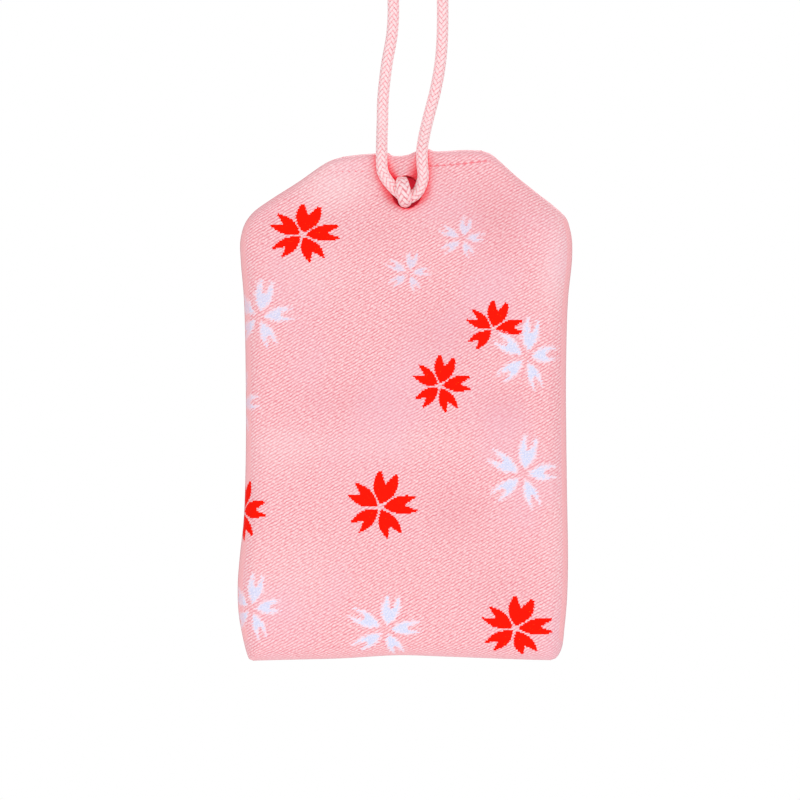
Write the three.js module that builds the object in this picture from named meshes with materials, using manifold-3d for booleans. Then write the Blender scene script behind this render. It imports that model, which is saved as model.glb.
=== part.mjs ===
// Omamori charm: a small brocade pouch with sloping shoulders, hung on a doubled round braid.
// Millimetres, +Z up. The origin is the hang point, on the inside of the top of the cord loop.
// The back of the charm faces -Y, the side with the decorative knot faces +Y.

import * as THREE from 'three';
import { mergeVertices } from 'three/addons/utils/BufferGeometryUtils.js';
import Module from 'manifold-3d';

const wasm = await Module();
wasm.setup();

// Driving dimensions: the pouch
const loopDrop = 60;
const pouchHeight = 69.5;
const mouthWidth = 20.6;
const shoulderWidth = 45.2;
const shoulderDrop = 12;
const shoulderRound = 5;
const waistWidth = 43.9;
const waistDrop = 38;
const hipWidth = 45.2;
const hipDrop = 59;
const bottomWidth = 42.6;
const cornerRound = 3;
const pouchDepth = 6;
const mouthDepth = 2.6;
const swellLength = 8;
const edgeRound = 3.2;
const brocadeThickness = 0.45;
const liningThickness = 0.2;

// Driving dimensions: the hole, the threads and what the pouch holds
const holeDrop = 5.55;
const holeWidth = 5.4;
const holeHeight = 6.8;
const threadDiameter = 0.3;
const leftStitchMiddle = 7;
const leftStitchDrop = 2.4;
const leftStitchLength = 5.2;
const rightStitchMiddle = 6.8;
const rightStitchDrop = 1.25;
const rightStitchLength = 6.8;
const rightStitchRise = 0.5;
const cardWidth = 37;
const cardThickness = 1;
const cardCorner = 7;
const wrapperWidth = 26;
const wrapperHeight = 44;
const wrapperPaper = 0.3;
const tabletThickness = 1;
const tabletHeight = 41;
const tabletPeak = 3;

// Driving dimensions: the cord
const cordDiameter = 1.65;
const loopHalf = 3.9;
const twistLevel = -20;
const foldLevel = -55.5;
const foldGap = 0.45;
const knotX = -0.35;
const knotPitch = 2.15;
const knotWeave = 1.1;
const knotLift = 2.6;
const knotReach = 2.1;
const knotArch = 4.22;
const bridleOut = -2.45;
const bridleLean = 0.35;
const tailReach = 15;

// Clearances
const clearance = 0.3;
const seamGap = 0.3;

const cordRadius = cordDiameter / 2;
const threadRadius = threadDiameter / 2;
const mouthZ = -loopDrop;
const holeZ = mouthZ - holeDrop;
const swellStart = holeDrop + holeHeight / 2;
const liningInset = brocadeThickness + clearance;
const cavityInset = liningInset + liningThickness + clearance;
const cavityDepth = pouchDepth - 2 * cavityInset;
const cavityTop = swellStart + swellLength + clearance;
const cavityBottom = pouchHeight - edgeRound - clearance;
const wrapperDepth = cavityDepth - cardThickness - clearance;

const brocadeBack = new THREE.MeshStandardMaterial({ color: 0xf7bec4, roughness: 0.5 });
const brocadeFront = new THREE.MeshStandardMaterial({ color: 0xf5b8c0, roughness: 0.5 });
const liningCloth = new THREE.MeshStandardMaterial({ color: 0xe8607a, roughness: 0.9 });
const thread = new THREE.MeshStandardMaterial({ color: 0xe2727c, roughness: 0.6 });
const braid = new THREE.MeshStandardMaterial({ color: 0xfdd2d4, roughness: 0.55 });
const card = new THREE.MeshStandardMaterial({ color: 0xd9d2c2, roughness: 0.9 });
const paper = new THREE.MeshStandardMaterial({ color: 0xf4f1e8, roughness: 0.85 });
const paleWood = new THREE.MeshStandardMaterial({ color: 0xdcbf94, roughness: 0.7 });

// A closed geometry becomes a solid that can be joined and cut
function toSolid(geometry) {
  const bare = geometry.clone();
  bare.deleteAttribute('normal');
  bare.deleteAttribute('uv');
  const merged = mergeVertices(bare, 1e-5);
  const vertProperties = new Float32Array(merged.attributes.position.array);
  const triVerts = new Uint32Array(merged.index.array);
  return new wasm.Manifold(new wasm.Mesh({ numProp: 3, vertProperties, triVerts }));
}

function toGeometry(solid) {
  const mesh = solid.getMesh();
  const geometry = new THREE.BufferGeometry();
  geometry.setAttribute('position', new THREE.BufferAttribute(mesh.vertProperties, 3));
  geometry.setIndex(new THREE.BufferAttribute(mesh.triVerts, 1));
  geometry.computeVertexNormals();
  return geometry;
}

// The right edge of the pouch from the mouth to the bottom, as points of half width and drop
function sideEdge(inset) {
  const shoulder = new THREE.Vector2(shoulderWidth / 2 - inset, shoulderDrop);
  const mouth = new THREE.Vector2(mouthWidth / 2 - inset, inset);
  const corner = new THREE.Vector2(shoulder.x, shoulderDrop - shoulderRound * 0.7);
  const slopeEnd = corner.clone().lerp(mouth, shoulderRound / corner.distanceTo(mouth));
  const base = pouchHeight - inset;
  const hip = new THREE.Vector2(hipWidth / 2 - inset, hipDrop);
  const path = new THREE.Path();
  path.moveTo(mouth.x, mouth.y);
  path.lineTo(slopeEnd.x, slopeEnd.y);
  path.quadraticCurveTo(corner.x, corner.y, shoulder.x, shoulder.y);
  path.splineThru([
    new THREE.Vector2(waistWidth / 2 - inset, waistDrop),
    hip,
    new THREE.Vector2((hipWidth + bottomWidth) / 4 - inset, base - cornerRound),
    new THREE.Vector2(bottomWidth / 2 - inset, base),
  ]);
  return path.getPoints(8);
}

function halfWidthAt(edge, drop) {
  const next = edge.findIndex((point) => point.y >= drop);
  if (next <= 0) {
    return next === 0 ? edge[0].x : edge[edge.length - 1].x;
  }
  const share = (drop - edge[next - 1].y) / (edge[next].y - edge[next - 1].y);
  return THREE.MathUtils.lerp(edge[next - 1].x, edge[next].x, share);
}

function distanceToEdge(edge, x, drop) {
  const point = new THREE.Vector3(Math.abs(x), drop, 0);
  const nearest = new THREE.Vector3();
  const line = new THREE.Line3();
  let least = Math.min(drop - edge[0].y, edge[edge.length - 1].y - drop);
  for (let i = 1; i < edge.length; i += 1) {
    line.start.set(edge[i - 1].x, edge[i - 1].y, 0);
    line.end.set(edge[i].x, edge[i].y, 0);
    line.closestPointToPoint(point, true, nearest);
    least = Math.min(least, nearest.distanceTo(point));
  }
  return Math.max(least, 0);
}

// Half the thickness of the pouch: thin at the mouth, full below the hole, round along every edge
function halfDepth(edge, x, drop, inset) {
  const swell = THREE.MathUtils.smoothstep(drop, swellStart, swellStart + swellLength);
  const full = THREE.MathUtils.lerp(mouthDepth, pouchDepth, swell) / 2 - inset - seamGap / 2;
  const rise = Math.min(distanceToEdge(edge, x, drop) / (edgeRound - inset), 1);
  return seamGap / 2 + full * Math.sqrt(1 - (1 - rise) ** 2);
}

// Rows close up near the mouth, the swell and the bottom, and columns near both sides
function leafGrid(inset) {
  const edge = sideEdge(inset);
  const near = [0, 0.1, 0.3, 0.6, 1].map((share) => share * (edgeRound - inset));
  const swellSteps = [0, 0.25, 0.5, 0.75, 1].map((share) => swellStart + share * swellLength);
  const bodyStart = swellStart + swellLength;
  const bodyEnd = pouchHeight - edgeRound;
  const bodySteps = [0.12, 0.28, 0.46, 0.64, 0.82].map((share) => bodyStart + share * (bodyEnd - bodyStart));
  const drops = [
    ...near.map((step) => inset + step),
    (edgeRound + swellStart) / 2,
    ...swellSteps,
    ...bodySteps,
    ...near.map((step) => pouchHeight - inset - step).reverse(),
  ];
  const reach = edgeRound / (waistWidth / 2);
  const half = [0.3, 0.6, 1 - 1.05 * reach, 1 - 0.62 * reach, 1 - 0.3 * reach, 1 - 0.1 * reach, 1];
  const columns = [...half.map((share) => -share).reverse(), 0, ...half];
  return drops.map((drop) => columns.map((share) => {
    const x = share * halfWidthAt(edge, drop);
    return [x, halfDepth(edge, x, drop, inset), mouthZ - drop];
  }));
}

// One leaf of cloth: an outer skin, an inner skin one thickness inside it, and the rim between
function leafSolid(side, inset, thickness) {
  const skins = [leafGrid(inset), leafGrid(inset + thickness)];
  const rows = skins[0].length;
  const columns = skins[0][0].length;
  const positions = skins.flat(2).flatMap(([x, y, z]) => [x, side * y, z]);
  const index = [];
  const at = (skin, row, column) => (skin * rows + row) * columns + column;
  const quad = (a, b, c, d) => {
    index.push(...(side > 0 ? [a, c, b, a, d, c] : [a, b, c, a, c, d]));
  };
  for (let r = 0; r + 1 < rows; r += 1) {
    for (let c = 0; c + 1 < columns; c += 1) {
      quad(at(0, r, c), at(0, r + 1, c), at(0, r + 1, c + 1), at(0, r, c + 1));
      quad(at(1, r, c), at(1, r, c + 1), at(1, r + 1, c + 1), at(1, r + 1, c));
    }
    quad(at(0, r, 0), at(1, r, 0), at(1, r + 1, 0), at(0, r + 1, 0));
    const last = columns - 1;
    quad(at(0, r, last), at(0, r + 1, last), at(1, r + 1, last), at(1, r, last));
  }
  for (let c = 0; c + 1 < columns; c += 1) {
    quad(at(0, 0, c), at(0, 0, c + 1), at(1, 0, c + 1), at(1, 0, c));
    const last = rows - 1;
    quad(at(0, last, c), at(1, last, c), at(1, last, c + 1), at(0, last, c + 1));
  }
  const geometry = new THREE.BufferGeometry();
  geometry.setAttribute('position', new THREE.Float32BufferAttribute(positions, 3));
  geometry.setIndex(index);
  return toSolid(geometry);
}

// The punched hole, wider by the given margin, as a plug along Y
function holePlug(margin) {
  const outline = new THREE.Shape();
  outline.absellipse(0, holeZ, holeWidth / 2 + margin, holeHeight / 2 + margin, 0, 2 * Math.PI);
  const plug = new THREE.ExtrudeGeometry(outline, { depth: pouchDepth, bevelEnabled: false, curveSegments: 12 });
  plug.translate(0, 0, -pouchDepth / 2);
  plug.rotateX(Math.PI / 2);
  return toSolid(plug);
}

function panel(side) {
  return toGeometry(leafSolid(side, 0, brocadeThickness).subtract(holePlug(0)));
}

function liningLeaf(side) {
  return toGeometry(leafSolid(side, liningInset, liningThickness).subtract(holePlug(clearance)));
}

function ring(radius, sides) {
  const points = [];
  for (let i = 0; i < sides; i += 1) {
    const angle = (2 * Math.PI * i) / sides;
    points.push(new THREE.Vector2(radius * Math.cos(angle), radius * Math.sin(angle)));
  }
  return points;
}

function curveThrough(route) {
  return new THREE.CatmullRomCurve3(route.map((point) => new THREE.Vector3(...point)));
}

function tube(route, radius, stepLength, sides) {
  const curve = curveThrough(route);
  const section = new THREE.Shape(ring(radius, sides));
  const steps = Math.ceil(curve.getLength() / stepLength);
  return new THREE.ExtrudeGeometry(section, { steps, extrudePath: curve, bevelEnabled: false });
}

// The thread run that joins both leaves, just inside the linings, from shoulder to shoulder
function seamThread() {
  const inset = cavityInset + threadRadius;
  const right = sideEdge(inset).filter((point) => point.y > shoulderDrop && point.y < pouchHeight - cornerRound);
  const base = pouchHeight - inset;
  const turn = new THREE.Vector2(bottomWidth / 2 - inset - threadDiameter, base - threadDiameter);
  const side = [...right, turn].map((point) => [point.x, 0, mouthZ - point.y]);
  const bottom = [0.6, 0.2, -0.2, -0.6].map((share) => [share * turn.x, 0, mouthZ - base]);
  const left = side.map(([x, y, z]) => [-x, y, z]).reverse();
  return tube([...side, ...bottom, ...left], threadRadius, 2.5, 6);
}

// A row of stitches on the back, laid just over the brocade; the rise is from its left end to its right
function mouthStitch(middleX, middleDrop, length, rise) {
  const edge = sideEdge(0);
  const route = [-0.5, -0.25, 0, 0.25, 0.5].map((share) => {
    const x = middleX + share * length;
    const drop = middleDrop - share * rise;
    const y = -halfDepth(edge, x, drop, 0) - clearance - threadRadius;
    return [x, y, mouthZ - drop];
  });
  return tube(route, threadRadius, 0.8, 6);
}

function coreCard() {
  const outline = new THREE.Shape();
  const half = cardWidth / 2;
  const top = mouthZ - cavityTop;
  const bottom = mouthZ - cavityBottom;
  outline.moveTo(-half, bottom);
  outline.lineTo(half, bottom);
  outline.lineTo(half, top - cardCorner);
  outline.lineTo(half - cardCorner, top);
  outline.lineTo(cardCorner - half, top);
  outline.lineTo(-half, top - cardCorner);
  const geometry = new THREE.ExtrudeGeometry(outline, { depth: cardThickness, bevelEnabled: false });
  geometry.rotateX(Math.PI / 2);
  geometry.translate(0, cardThickness - cavityDepth / 2, 0);
  return geometry;
}

function rectangle(target, width, depth) {
  target.moveTo(-width / 2, -depth / 2);
  target.lineTo(width / 2, -depth / 2);
  target.lineTo(width / 2, depth / 2);
  target.lineTo(-width / 2, depth / 2);
  target.closePath();
  return target;
}

// The wrapper is a flat paper sleeve, open at the top and bottom
const wrapperMiddle = cavityDepth / 2 - wrapperDepth / 2;
const wrapperBase = mouthZ - (cavityTop + cavityBottom) / 2 - wrapperHeight / 2;

function charmWrapper() {
  const outline = rectangle(new THREE.Shape(), wrapperWidth, wrapperDepth);
  const bore = rectangle(new THREE.Path(), wrapperWidth - 2 * wrapperPaper, wrapperDepth - 2 * wrapperPaper);
  outline.holes.push(bore);
  return new THREE.ExtrudeGeometry(outline, { depth: wrapperHeight, bevelEnabled: false });
}

// A blank slip with a low peaked top
function charmTablet() {
  const half = wrapperWidth / 2 - wrapperPaper - clearance;
  const outline = new THREE.Shape();
  outline.moveTo(-half, 0);
  outline.lineTo(half, 0);
  outline.lineTo(half, tabletHeight - tabletPeak);
  outline.lineTo(0, tabletHeight);
  outline.lineTo(-half, tabletHeight - tabletPeak);
  const geometry = new THREE.ExtrudeGeometry(outline, { depth: tabletThickness, bevelEnabled: false });
  geometry.rotateX(Math.PI / 2);
  geometry.translate(0, tabletThickness / 2, 0);
  return geometry;
}

// Routes of the hanging cord
const archRoute = [
  [-loopHalf, 0, twistLevel + clearance / 2],
  [-loopHalf, 0, -17],
  [-4.3, 0, -11],
  [-4.7, 0, -6],
  [-4.2, 0, -2],
  [-2.4, 0, 0.1],
  [0, 0, cordRadius],
  [2.4, 0, 0.1],
  [4.2, 0, -2],
  [4.7, 0, -6],
  [4.3, 0, -11],
  [loopHalf, 0, -17],
  [loopHalf, 0, twistLevel + clearance / 2],
];
const leftFold = [-3.23, 0, foldLevel];
const rightFold = [2.95, 0, foldLevel];
const leftRoute = [
  [-loopHalf, 0, twistLevel - clearance / 2],
  [-loopHalf, 0, -22.5],
  [-3.2, 0, -28],
  [-2.3, 0, -34],
  [-1.75, 0, -39],
  [-1.9, 0, -43.4],
  [-2.65, 0, -47.8],
  [-3.15, 0, -52.4],
  leftFold,
];
const rightRoute = [
  [loopHalf, 0, twistLevel - clearance / 2],
  [loopHalf, 0, -22.5],
  [4.35, 0, -28],
  [4.8, 0, -34],
  [5.02, 0, -39],
  [4.95, 0, -44.5],
  [4.66, 0, -47.8],
  [4.05, 0, -51.2],
  rightFold,
];

// A point one fold gap past the end of a strand, so that the cord is free to bend there
function pastFold(fold, next) {
  const from = new THREE.Vector3(...fold);
  const towards = new THREE.Vector3(...next).sub(from).setLength(cordRadius + foldGap);
  return from.add(towards).toArray();
}

const bightMiddle = [
  [-3.3, -1.05, -58.2],
  [-3.33, -2.05, -60.2],
  [-3.3, -2.5, -61.8],
  [-3.1, -2.5, -62.9],
  [-2.45, -2.5, -64.0],
  [-1.5, -2.5, -65.05],
  [-0.3, -2.45, -65.65],
  [1.0, -2.5, -65.75],
  [1.9, -2.5, -64.95],
  [2.32, -2.5, -63.3],
  [2.2, -2.4, -61.3],
  [2.2, -2.05, -60.2],
  [2.45, -1.05, -58.2],
];
const bightRoute = [
  pastFold(leftFold, bightMiddle[0]),
  ...bightMiddle,
  pastFold(rightFold, bightMiddle[bightMiddle.length - 1]),
];

// A strand ends in a round tip on the fold, so that the pouch can swing about it
function strand(route, fold) {
  const tip = new THREE.SphereGeometry(cordRadius * 0.98, 10, 8);
  tip.translate(...fold);
  return toGeometry(toSolid(tube(route, cordRadius, 3, 8)).add(toSolid(tip)));
}

// Route of the knot about the middle of the hole, as right, out and up: a square weave in front,
// two ears, two tails, and one upright strand that passes through the hole and over the hanging cord
const clothFace = mouthDepth / 2 + clearance + cordRadius;
const tailFace = pouchDepth / 2 + clearance + cordRadius;
const middle = clothFace + knotLift;
const over = middle + knotWeave;
const under = middle - knotWeave;
const a = knotPitch;
const knotRoute = [
  [-2.9, tailFace + 0.1, -tailReach],
  [-2.6, tailFace + 0.2, -11.5],
  [-2.3, tailFace + 0.8, -7.5],
  [-a, over - 0.3, -4.6],
  [-a, over, -a - 0.5],
  [-a, over, 0.5 - a],
  [-a, under + 0.05, a - 0.5],
  [0.15 - a, under - 0.35, a + 0.3],
  [-1.5, 2.85, 2.95],
  [-0.8, 2.05, 2.55],
  [-bridleLean, 0.4, knotReach],
  [-bridleLean, -1.2, knotReach],
  [-bridleLean, bridleOut, knotReach],
  [-0.7 * bridleLean, bridleOut - 0.7 * knotReach, 0.7 * knotReach],
  [0, bridleOut - knotReach, 0],
  [0.7 * bridleLean, bridleOut - 0.7 * knotReach, -0.7 * knotReach],
  [bridleLean, bridleOut, -knotReach],
  [bridleLean, -1.2, -knotReach],
  [bridleLean, 0.4, -knotReach],
  [0.8, 2.05, -2.55],
  [1.5, 2.85, -2.95],
  [a - 0.15, under - 0.35, -a - 0.3],
  [a, under + 0.05, 0.5 - a],
  [a, over, a - 0.5],
  [a, over, a + 0.6],
  [1.7, over - 0.3, knotArch - 0.35],
  [0.3, middle + 0.2, knotArch],
  [-1.8, middle + 0.2, knotArch + 0.05],
  [-3.8, middle + 0.4, knotArch - 0.15],
  [-4.9, over - 0.4, 3.4],
  [-4.6, over - 0.1, 2.6],
  [-3.6, over, a + 0.05],
  [0.5 - a, over, a],
  [a - 0.5, under, a],
  [a + 0.6, under - 0.1, a + 0.1],
  [4.6, clothFace + 0.75, 2.7],
  [7.0, clothFace + 0.55, 3.1],
  [9.2, clothFace + 0.55, 2.8],
  [10.8, clothFace + 0.6, 1.7],
  [11.2, clothFace + 0.6, 0.3],
  [10.4, clothFace + 0.6, -1.0],
  [8.6, clothFace + 0.5, -1.6],
  [6.0, clothFace + 0.3, -1.1],
  [3.6, clothFace + 0.05, -0.3],
  [a - 0.4, clothFace, 0],
  [0.4 - a, clothFace, 0],
  [-3.6, clothFace + 0.05, 0.3],
  [-6.0, clothFace + 0.3, 1.1],
  [-8.6, clothFace + 0.5, 1.6],
  [-10.4, clothFace + 0.6, 1.0],
  [-11.2, clothFace + 0.6, -0.3],
  [-10.8, clothFace + 0.7, -1.7],
  [-9.2, clothFace + 0.85, -2.8],
  [-7.0, clothFace + 0.95, -3.1],
  [-4.6, clothFace + 0.95, -2.7],
  [-a - 0.6, under - 0.1, -a - 0.1],
  [0.5 - a, under, -a],
  [a - 0.5, over, -a],
  [a + 0.5, over, -a - 0.1],
  [3.9, over - 0.4, -3.4],
  [4.1, tailFace + 1.0, -5.6],
  [3.4, tailFace + 0.35, -9],
  [2.8, tailFace + 0.1, 1 - tailReach],
];

// The least gap of a tube to itself, between points further apart along it than a half turn
function leastGap(route, diameter) {
  const curve = curveThrough(route);
  const count = 400;
  const points = curve.getSpacedPoints(count);
  const apart = Math.ceil((2.2 * diameter) / (curve.getLength() / count));
  let least = Infinity;
  for (let i = 0; i < points.length; i += 1) {
    for (let j = i + apart; j < points.length; j += 1) {
      least = Math.min(least, points[i].distanceTo(points[j]));
    }
  }
  return least - diameter;
}

console.log(`front_knot: least gap to itself ${leastGap(knotRoute, cordDiameter).toFixed(2)} mm`);

const charm = new THREE.Group();

function add(name, geometry, material, position = [0, 0, 0]) {
  const mesh = new THREE.Mesh(geometry, material);
  mesh.name = name;
  mesh.position.set(...position);
  charm.add(mesh);
}

const tabletBase = wrapperBase + (wrapperHeight - tabletHeight) / 2;

add('back_panel', panel(-1), brocadeBack);
add('front_panel', panel(1), brocadeFront);
add('back_lining', liningLeaf(-1), liningCloth);
add('front_lining', liningLeaf(1), liningCloth);
add('seam_thread', seamThread(), thread);
add('mouth_stitch_left', mouthStitch(-leftStitchMiddle, leftStitchDrop, leftStitchLength, 0), thread);
add(
  'mouth_stitch_right',
  mouthStitch(rightStitchMiddle, rightStitchDrop, rightStitchLength, rightStitchRise),
  thread,
);
add('core_card', coreCard(), card);
add('charm_wrapper', charmWrapper(), paper, [0, wrapperMiddle, wrapperBase]);
add('charm_tablet', charmTablet(), paleWood, [0, wrapperMiddle, tabletBase]);
add('hanging_loop', tube(archRoute, cordRadius, 1.8, 8), braid);
add('loop_strand_left', strand(leftRoute, leftFold), braid);
add('loop_strand_right', strand(rightRoute, rightFold), braid);
add('cord_bight', tube(bightRoute, cordRadius, 0.9, 8), braid);
add('front_knot', tube(knotRoute, cordRadius, 0.9, 8), braid, [knotX, 0, holeZ]);

export default charm;
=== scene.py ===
import math

import bpy
import numpy as np
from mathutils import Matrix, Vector, noise


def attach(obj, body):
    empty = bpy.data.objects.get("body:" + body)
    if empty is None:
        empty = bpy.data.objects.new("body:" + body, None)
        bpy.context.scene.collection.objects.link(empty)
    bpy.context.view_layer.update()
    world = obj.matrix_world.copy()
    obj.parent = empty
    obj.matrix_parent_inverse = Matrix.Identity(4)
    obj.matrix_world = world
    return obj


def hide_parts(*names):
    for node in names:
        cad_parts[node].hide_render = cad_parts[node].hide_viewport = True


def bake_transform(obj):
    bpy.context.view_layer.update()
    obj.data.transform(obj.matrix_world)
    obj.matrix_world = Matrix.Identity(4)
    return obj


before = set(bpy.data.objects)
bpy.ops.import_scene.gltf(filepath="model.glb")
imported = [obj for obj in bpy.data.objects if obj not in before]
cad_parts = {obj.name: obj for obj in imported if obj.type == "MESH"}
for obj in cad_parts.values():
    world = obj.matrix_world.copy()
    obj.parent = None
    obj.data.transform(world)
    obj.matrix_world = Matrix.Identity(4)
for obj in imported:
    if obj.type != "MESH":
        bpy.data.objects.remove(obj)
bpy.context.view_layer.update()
mm = 0.001  # every size below is in millimetres and becomes metres here

# camera, square on to the back of the charm
view = dict(
    pixelSize=0.13705,  # millimetres of cloth in one pixel
    imagePixels=800,
    centre=(-0.82, 0.0, -93.71),
    lens=135.0,
    sensor=36.0,
    clipStart=10.0,
)


def makeCamera():
    camera = bpy.data.objects.new("camera", bpy.data.cameras.new("camera"))
    camera.data.lens = view["lens"]
    camera.data.sensor_width = view["sensor"]
    width = view["pixelSize"] * view["imagePixels"]
    distance = width * view["lens"] / view["sensor"]
    x, y, z = view["centre"]
    camera.location = Vector((x, y - distance, z)) * mm
    camera.rotation_euler = (math.pi / 2, 0, 0)
    camera.data.clip_start = view["clipStart"] * mm
    bpy.context.scene.collection.objects.link(camera)
    bpy.context.scene.camera = camera


makeCamera()
print("camera placed")


# lines and meshes
def smoothLine(points, step, closed=False):
    # the same centripetal spline as the solid cords, cut into even steps
    knots = np.array(points, float)
    if closed:
        knots = np.vstack([knots[-1], knots, knots[:2]])
    else:
        knots = np.vstack([2 * knots[0] - knots[1], knots, 2 * knots[-1] - knots[-2]])
    share = np.arange(32)[:, None] / 32  # fine points in each span
    parts = []
    for a, b, c, d in zip(knots, knots[1:], knots[2:], knots[3:]):
        ab, bc, cd = (np.linalg.norm(q - p) ** 0.5 for p, q in ((a, b), (b, c), (c, d)))
        leave = ((b - a) / ab - (c - a) / (ab + bc) + (c - b) / bc) * bc
        arrive = ((c - b) / bc - (d - b) / (bc + cd) + (d - c) / cd) * bc
        square, cube = share**2, share**3
        start = (2 * cube - 3 * square + 1) * b + (cube - 2 * square + share) * leave
        parts.append(start + (3 * square - 2 * cube) * c + (cube - square) * arrive)
    parts.append(knots[-2][None])
    line = np.vstack(parts)
    along = lengthAlong(line)
    even = np.linspace(0, along[-1], round(along[-1] / step) + 1)
    return np.column_stack([np.interp(even, along, column) for column in line.T])


def lengthAlong(line):
    return np.concatenate([[0], np.cumsum(np.linalg.norm(np.diff(line, axis=0), axis=1))])


def unit(vectors):
    return vectors / np.maximum(np.linalg.norm(vectors, axis=-1, keepdims=True), 1e-12)


def smoothStep(value, low, high):
    share = np.clip((value - low) / (high - low), 0, 1)
    return share * share * (3 - 2 * share)


def between(ends, share):
    low, high = ends
    return low + (high - low) * share


def carryFrames(line, closed=False):
    # a side and a cross direction at each point, carried along without twist
    tangent = unit(np.gradient(line, axis=0))
    if closed:
        tangent[0] = tangent[-1] = unit(line[1] - line[-2])
    side = np.zeros_like(line)
    aside = (0.31, 0.9, 0.2)  # a direction that no cord starts along
    side[0] = unit(np.cross(tangent[0], aside))
    for i in range(1, len(line)):
        side[i] = unit(side[i - 1] - tangent[i] * (side[i - 1] @ tangent[i]))
    cross = np.cross(tangent, side)
    if closed:
        turn = math.atan2(side[0] @ cross[-1], side[0] @ side[-1])
        angle = np.linspace(0, turn, len(line))[:, None]
        side, cross = (
            side * np.cos(angle) + cross * np.sin(angle),
            cross * np.cos(angle) - side * np.sin(angle),
        )
    return side, cross


def makePiece(name, points, faces, material, slot, **stored):
    # stored: a number or a place for each point, for the shaders
    mesh = bpy.data.meshes.new(name)
    mesh.from_pydata((np.asarray(points) * mm).tolist(), [], faces)
    mesh.polygons.foreach_set("use_smooth", [True] * len(mesh.polygons))
    mesh.materials.append(material)
    mesh.update()
    for key, values in stored.items():
        values = np.asarray(values, np.float32)
        kind, field = ("FLOAT", "value") if values.ndim == 1 else ("FLOAT_VECTOR", "vector")
        mesh.attributes.new(key, kind, "POINT").data.foreach_set(field, values.ravel())
    piece = bpy.data.objects.new(name, mesh)
    bpy.context.scene.collection.objects.link(piece)
    return piece


# shader nodes
def newMaterial(name, **sockets):
    material = bpy.data.materials.new(name)
    material.use_nodes = True
    shader = material.node_tree.nodes["Principled BSDF"]
    for socket, value in sockets.items():
        shader.inputs[socket.replace("_", " ")].default_value = value
    return material, material.node_tree, shader


def plug(socket, value):
    if isinstance(value, bpy.types.NodeSocket):
        socket.id_data.links.new(value, socket)
    else:
        socket.default_value = value


def addNode(kind, values=(), tree=None, **settings):
    # values go in by order or by name, and the node joins the tree that they come from
    pairs = values if isinstance(values, dict) else dict(enumerate(values))
    for value in pairs.values():
        if isinstance(value, bpy.types.NodeSocket):
            tree = value.id_data
    node = tree.nodes.new("ShaderNode" + kind)
    for setting, value in settings.items():
        setattr(node, setting, value)
    for socket, value in pairs.items():
        plug(node.inputs[socket], value)
    return node.outputs


def calc(operation, *values):
    return addNode("Math", values, operation=operation)[0]


def addCentred(pattern, amount):
    # a pattern from 0 to 1 as a swing about 0
    return calc("MULTIPLY_ADD", pattern, amount, -0.5 * amount)


def addWave(operation, turns):
    # from 0 to 1 and back in each turn
    wave = calc(operation, calc("MULTIPLY", turns, 2 * math.pi))
    return calc("MULTIPLY_ADD", wave, 0.5, 0.5)


def addVector(operation, *values):
    single = operation in ("DOT_PRODUCT", "LENGTH", "DISTANCE")
    return addNode("VectorMath", values, operation=operation)["Value" if single else "Vector"]


def addMix(share, first, second, kind="RGBA"):
    slot = ("FLOAT", "VECTOR", "RGBA").index(kind)
    values = {0: share, 2 * slot + 2: first, 2 * slot + 3: second}
    return addNode("Mix", values, data_type=kind)[slot]


def addRamp(value, low, high, start=0.0, end=1.0):
    values = (value, low, high, start, end)
    return addNode("MapRange", values, interpolation_type="SMOOTHSTEP")[0]


def addTint(base, value, ramp, tint):
    # a colour laid over another as a value climbs a ramp
    return addMix(addRamp(value, *ramp), base, tint)


def addNoise(place, scale, detail=2.0):
    return addNode("TexNoise", {"Vector": place, "Scale": scale, "Detail": detail})[0]


def addAttribute(tree, name, output="Vector"):
    return addNode("Attribute", tree=tree, attribute_name=name)[output]


def splitPlace(place):
    return addNode("SeparateXYZ", [place])


def addBump(height, distance, strength):
    values = {"Strength": strength, "Distance": distance * mm, "Height": height}
    return addNode("Bump", values)[0]


def addPaintedShadeMask(tree, reach):
    # 0 on open cloth, towards 1 in creases and where two pieces touch: where painted shade goes
    free = addNode("AmbientOcclusion", {"Distance": reach * mm}, tree, samples=8)["AO"]
    return calc("SUBTRACT", 1.0, free)


def colour(red, green, blue):
    # a colour as seen on screen, 0 to 255, as linear light
    shares = [value / 255 for value in (red, green, blue)]
    linear = [s / 12.92 if s <= 0.04045 else ((s + 0.055) / 1.055) ** 2.4 for s in shares]
    return (*linear, 1.0)


# round braid: sixteen yarns, eight each way, over two and under two
braid = dict(
    diameter=1.65,
    carriers=16,
    turn=6.2,  # length in which a yarn goes once round
    yarnRing=0.682,  # radius on which the yarns lie
    weave=0.046,
    yarnHalfWidth=0.275,
    yarnHalfDepth=0.092,
    yarnSides=6,
    coreRadius=0.66,
    coreSides=10,
    step=0.17,
    deep=colour(255, 148, 160),
    # tints: a ramp (from, to, least, most) and the colour that it lays on
    # painted light along the yarns' crowns, together with the grain of their filaments
    light=((0.05, 1.15), colour(255, 228, 230)),
    # painted shade: a deeper red in creases and where the cord touches other pieces
    hollowShade=((0.42, 0.9, 0.0, 0.85), colour(255, 66, 90)),
    shadeReach=1.6,
    filament=(0.7, 14.0, 1.0),  # grain of a yarn: along it, round it, from yarn to yarn
    filamentShade=0.9,
    bump=(0.02, 0.4),  # depth, strength
    crownPaintedLight=(0.25, 0.87),  # painted light: a yarn is palest along its crown
    underPaintedShade=(0.2, 0.8),  # painted shade: darker where it dips under its neighbours
    dipRange=(-0.6, 0.6),
    yarnApart=3.7,
    thinning=0.9,
    tipLeast=0.02,
)


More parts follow.
